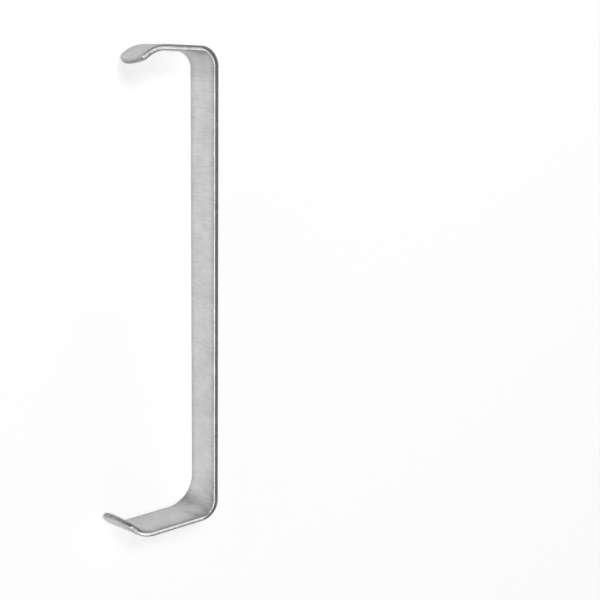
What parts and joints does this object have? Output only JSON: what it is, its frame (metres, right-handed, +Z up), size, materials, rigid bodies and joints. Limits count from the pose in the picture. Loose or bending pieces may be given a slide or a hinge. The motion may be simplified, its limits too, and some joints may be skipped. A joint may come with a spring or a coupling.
{
  "type": "handheld surgical retractor",
  "caption": "Double-ended hand retractor bent to a C from one flat steel bar: a straight handle with a shorter and a longer blade, each with a turned-in, round-ended lip.",
  "frame": {"origin": "centre of the bounding box on the surface that the retractor lies on", "axes": "+Z up, across the bar's width, out of the long side that it lies on; +Y along the handle towards the shorter blade; both blades point to -X"},
  "size_m": [0.036, 0.1512, 0.0135],
  "materials": {
    "steel": "satin brushed across the bar, with edges polished bright"
  },
  "bodies": {
    "root": {"retractor": "steel"}
  },
  "joints": []
}
